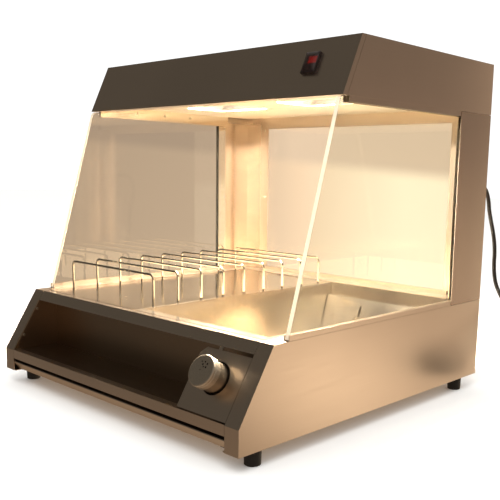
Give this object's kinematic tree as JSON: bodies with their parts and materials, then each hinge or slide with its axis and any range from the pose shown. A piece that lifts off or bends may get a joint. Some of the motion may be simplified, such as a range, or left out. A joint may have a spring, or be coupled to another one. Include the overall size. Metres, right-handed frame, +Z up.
{
  "type": "hot food display case",
  "caption": "Countertop hot food display case: open-front glass cabinet with heat lamps, carton rack with wire hoops, chip pan, storage recess, salt shaker and slide-out crumb tray.",
  "frame": {"origin": "centre of the bounding box of the case without its cord, at the height of the feet's lower faces, so z = 0 is the counter", "axes": "+X to the customer's right, +Y from the open front to the back, +Z up"},
  "size_m": [0.8695, 0.8196, 0.621],
  "materials": {
    "steel_brushed": "brushed",
    "steel_polished": "polished",
    "steel_hood": "brushed, darker tint",
    "hoop_wire": "plated wire",
    "side_glass": "clear toughened",
    "rear_glass": "clear toughened",
    "reflector": "bright",
    "lamp_quartz": "glowing quartz tube",
    "ceramic": "glazed",
    "element": "oxidised sheath",
    "black_plastic": "moulded",
    "red_plastic": "translucent",
    "boot": "soft clear cover",
    "rubber": "matte",
    "wire_loom": "sleeved wires",
    "screw_steel": "turned",
    "shaker_steel": "spun"
  },
  "bodies": {
    "case": {"base_side_left": "steel_brushed", "base_side_right": "steel_brushed", "front_top_rail": "steel_hood", "storage_recess": "steel_hood", "lower_front_rail": "steel_brushed", "shaker_holder": "steel_hood", "tray_runners": "steel_hood", "base_floor": "steel_brushed", "foot_front_left": "rubber", "foot_front_right": "rubber", "foot_rear_left": "rubber", "foot_rear_right": "rubber", "base_rear_panel": "steel_brushed", "deck_frame": "steel_brushed", "base_heater": "element", "heater_tray": "steel_brushed", "limit_thermostat": "black_plastic", "column_left": "steel_brushed", "column_right": "steel_brushed", "wiring_duct": "steel_brushed", "side_glass_left": "side_glass", "side_glass_right": "side_glass", "rear_glass": "rear_glass", "base_glass_rails": "steel_brushed", "top_glass_rails": "steel_brushed", "side_glass_clamps": "steel_polished", "rear_glass_frame": "steel_brushed", "hood_front": "steel_hood", "hood_side_left": "steel_brushed", "hood_side_right": "steel_brushed", "hood_top": "steel_brushed", "hood_rear_panel": "steel_brushed", "hood_ceiling": "steel_polished", "lamp_reflectors": "reflector", "heat_lamps": "lamp_quartz", "lamp_holders": "ceramic", "switch_bezel": "black_plastic", "switch_boot": "boot", "wiring": "wire_loom", "screws": "screw_steel", "cord_gland": "black_plastic", "cord": "rubber", "cord_coil": "rubber", "mains_plug": "rubber"},
    "rocker": {"switch_rocker": "red_plastic"},
    "shaker": {"shaker_body": "shaker_steel"},
    "shaker_lid": {"shaker_cap": "shaker_steel"},
    "tray": {"crumb_tray": "steel_brushed"},
    "rack": {"rack_deck": "steel_polished", "hoop_1": "hoop_wire", "hoop_2": "hoop_wire", "hoop_3": "hoop_wire", "hoop_4": "hoop_wire", "hoop_5": "hoop_wire", "hoop_6": "hoop_wire", "hoop_7": "hoop_wire", "hoop_8": "hoop_wire", "hoop_9": "hoop_wire"},
    "pan": {"chip_pan": "steel_polished"},
    "ramp": {"chip_ramp": "steel_polished"}
  },
  "joints": [
    {"name": "switch_rock", "type": "hinge", "parent": "case", "child": "rocker", "pos_m": [0.248, -0.0916, 0.58017], "axis": [1, 0, 0], "range_deg": [0, 16]},
    {"name": "shaker_lift_out", "type": "slide", "parent": "case", "child": "shaker", "axis": [0, -0.8519, 0.5237], "range_m": [0, 0.11]},
    {"name": "shaker_cap_turn", "type": "hinge", "parent": "shaker", "child": "shaker_lid", "pos_m": [0.248, -0.31096, 0.13062], "axis": [0, -0.8519, 0.5237], "continuous": true},
    {"name": "crumb_tray_slide", "type": "slide", "parent": "case", "child": "tray", "axis": [0, -1, 0], "range_m": [0, 0.4]},
    {"name": "rack_lift_out", "type": "slide", "parent": "case", "child": "rack", "axis": [0, 0, 1], "range_m": [0, 0.06]},
    {"name": "pan_lift_out", "type": "slide", "parent": "case", "child": "pan", "axis": [0, 0, 1], "range_m": [0, 0.15]},
    {"name": "ramp_lift_out", "type": "slide", "parent": "pan", "child": "ramp", "axis": [0, 0, 1], "range_m": [0, 0.05]}
  ]
}
